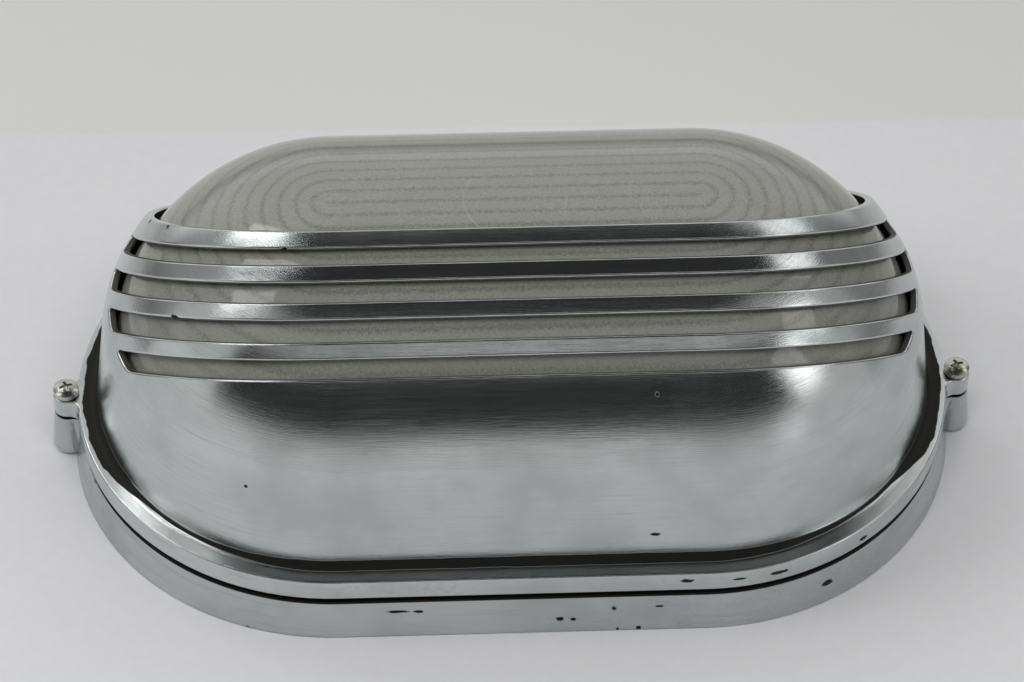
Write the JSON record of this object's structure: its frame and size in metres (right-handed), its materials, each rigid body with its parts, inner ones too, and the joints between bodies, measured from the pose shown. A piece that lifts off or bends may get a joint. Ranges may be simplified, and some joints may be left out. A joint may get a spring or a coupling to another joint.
{
  "type": "oval bulkhead light",
  "caption": "Oval cast wall light lying on its back: shallow base, flanged cover with a slanted louvred hood, ribbed frosted glass dome, screw lugs on the ends, and one screw-in lamp inside.",
  "frame": {"origin": "centre of the base's flat back face, on the wall plane", "axes": "+X along the long axis of the oval, +Z out of the wall, -Y towards the louvred side of the hood"},
  "size_m": [0.2966, 0.168, 0.1105],
  "materials": {
    "base_casting": "cast, brushed and dulled",
    "cover_casting": "cast and hand polished",
    "frosted_glass": "frosted inside, ribbed",
    "gasket_rubber": "matt black",
    "screw_steel": "zinc plated",
    "fibre": "red vulcanised fibre",
    "bracket_steel": "zinc plated sheet",
    "porcelain": "white glaze",
    "brass": "bright",
    "lamp_glass": "pearl",
    "cap_metal": "bright",
    "tip_black": "black glass and solder",
    "wire_brown": "silicone sleeve",
    "wire_blue": "silicone sleeve",
    "grommet_rubber": "matt black"
  },
  "bodies": {
    "base": {"base_housing": "base_casting", "lampholder_bracket": "bracket_steel", "bracket_screws": "screw_steel", "lampholder_body": "porcelain", "lampholder_screws": "screw_steel", "lampholder_shell": "brass", "lampholder_contact": "brass", "terminal_block": "porcelain", "terminal_clamps": "brass", "terminal_screws": "screw_steel", "block_screw": "screw_steel", "live_wire": "wire_brown", "neutral_wire": "wire_blue", "earth_screw": "brass", "cable_grommet": "grommet_rubber"},
    "cover": {"cover_casting": "cover_casting", "glass_dome": "frosted_glass", "rubber_gasket": "gasket_rubber"},
    "left_washer": {"left_seal_washer": "fibre"},
    "right_washer": {"right_seal_washer": "fibre"},
    "left_screw": {"left_cover_screw": "screw_steel"},
    "right_screw": {"right_cover_screw": "screw_steel"},
    "lamp": {"lamp_bulb": "lamp_glass", "lamp_cap": "cap_metal", "lamp_tip": "tip_black"}
  },
  "joints": [
    {"name": "cover_lift", "type": "slide", "parent": "base", "child": "cover", "axis": [0, 0, 1], "range_m": [0, 0.11]},
    {"name": "left_washer_slide", "type": "slide", "parent": "cover", "child": "left_washer", "axis": [0, 0, 1], "range_m": [0, 0.007]},
    {"name": "left_screw_turn", "type": "hinge", "parent": "left_washer", "child": "left_screw", "pos_m": [-0.1428, 0, 0.025], "axis": [0, 0, 1], "range_deg": [0, 3600]},
    {"name": "right_washer_slide", "type": "slide", "parent": "cover", "child": "right_washer", "axis": [0, 0, 1], "range_m": [0, 0.007]},
    {"name": "right_screw_turn", "type": "hinge", "parent": "right_washer", "child": "right_screw", "pos_m": [0.1428, 0, 0.025], "axis": [0, 0, 1], "range_deg": [0, 3600]},
    {"name": "lamp_withdraw", "type": "slide", "parent": "base", "child": "lamp", "axis": [1, 0, 0], "range_m": [0, 0.024]}
  ],
  "couplings": [
    {"joint": "left_screw_turn", "follows": "left_washer_slide", "rad_per_m": 8976},
    {"joint": "right_screw_turn", "follows": "right_washer_slide", "rad_per_m": 8976}
  ]
}
